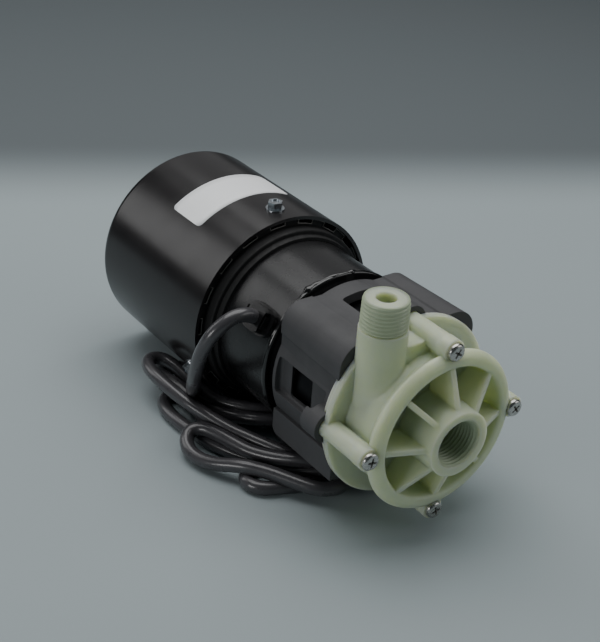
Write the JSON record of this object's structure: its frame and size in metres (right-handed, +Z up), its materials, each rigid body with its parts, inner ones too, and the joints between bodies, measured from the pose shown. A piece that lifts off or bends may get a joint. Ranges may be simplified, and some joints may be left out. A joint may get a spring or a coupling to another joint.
{
  "type": "magnetic drive pump",
  "caption": "Close-coupled magnetic drive pump: ribbed threaded head, bracket, encapsulated motor with fan shroud, and a folded mains lead with plug.",
  "frame": {"origin": "centre of the inlet's mouth, on the shaft axis", "axes": "-Y out of the inlet along the shaft, +Z up along the outlet, +X to the right seen from the front"},
  "size_m": [0.1467, 0.23, 0.115],
  "materials": {
    "head_plastic": "natural polypropylene, moulded, slightly translucent",
    "seal_rubber": "moulded nitrile",
    "ceramic_pin": "ground alumina ceramic",
    "washer_plastic": "turned fluoropolymer",
    "bracket_plastic": "glass-filled plastic, moulded, matte",
    "can_plastic": "moulded encapsulation, satin",
    "potting": "cured epoxy, glossy",
    "bearing_steel": "ground bearing steel",
    "core_steel": "stacked electrical steel",
    "winding": "enamelled copper, varnished",
    "ring_plastic": "moulded nylon, glossy",
    "shroud_plastic": "moulded cup, satin gloss",
    "zinc_screw": "zinc plated",
    "stainless_screw": "cold-headed stainless",
    "screw_black": "black oxide",
    "relief_nylon": "moulded nylon, glossy",
    "cord_jacket": "vinyl jacket, satin",
    "plug_vinyl": "moulded vinyl",
    "blade_brass": "stamped brass, nickel flash",
    "shaft_steel": "ground steel",
    "hub_aluminium": "turned aluminium",
    "magnet_ferrite": "sintered ferrite",
    "fan_plastic": "moulded nylon",
    "impeller_plastic": "natural polypropylene",
    "bushing_carbon": "pressed carbon"
  },
  "bodies": {
    "housing": {"front_housing": "head_plastic", "rear_housing": "head_plastic", "housing_oring": "seal_rubber", "pump_shaft": "ceramic_pin", "front_washer": "washer_plastic", "rear_washer": "washer_plastic", "motor_bracket": "bracket_plastic", "motor_can": "can_plastic", "seam_bead": "potting", "motor_end_cap": "can_plastic", "front_bearing": "bearing_steel", "rear_bearing": "bearing_steel", "stator_core": "core_steel", "front_coil": "winding", "rear_coil": "winding", "step_ring": "ring_plastic", "castellated_ring": "ring_plastic", "fan_shroud": "shroud_plastic", "shroud_screw_1": "zinc_screw", "shroud_screw_2": "zinc_screw", "shroud_screw_3": "zinc_screw", "head_screw_1": "stainless_screw", "head_screw_2": "stainless_screw", "head_screw_3": "stainless_screw", "head_screw_4": "stainless_screw", "bracket_screw_1": "zinc_screw", "bracket_screw_2": "zinc_screw", "bracket_screw_3": "zinc_screw", "bracket_screw_4": "zinc_screw", "strain_relief": "relief_nylon", "power_cord": "cord_jacket", "cord_tail": "cord_jacket", "cord_hank": "cord_jacket", "power_plug": "plug_vinyl", "plug_blade_1": "blade_brass", "plug_blade_2": "blade_brass", "earth_pin": "blade_brass"},
    "motor_rotor": {"rotor": "core_steel", "motor_shaft": "shaft_steel", "drive_hub": "hub_aluminium", "drive_magnet": "magnet_ferrite", "set_screw": "screw_black", "cooling_fan": "fan_plastic"},
    "impeller_rotor": {"impeller": "impeller_plastic", "impeller_bushing": "bushing_carbon", "inner_magnet": "magnet_ferrite", "magnet_cover": "impeller_plastic"}
  },
  "joints": [
    {"name": "motor_spin", "type": "hinge", "parent": "housing", "child": "motor_rotor", "pos_m": [0, 0.1, 0], "axis": [0, 1, 0], "continuous": true},
    {"name": "impeller_spin", "type": "hinge", "parent": "housing", "child": "impeller_rotor", "pos_m": [0, 0.05, 0], "axis": [0, 1, 0], "continuous": true}
  ],
  "couplings": [
    {"joint": "impeller_spin", "follows": "motor_spin", "ratio": 1}
  ]
}
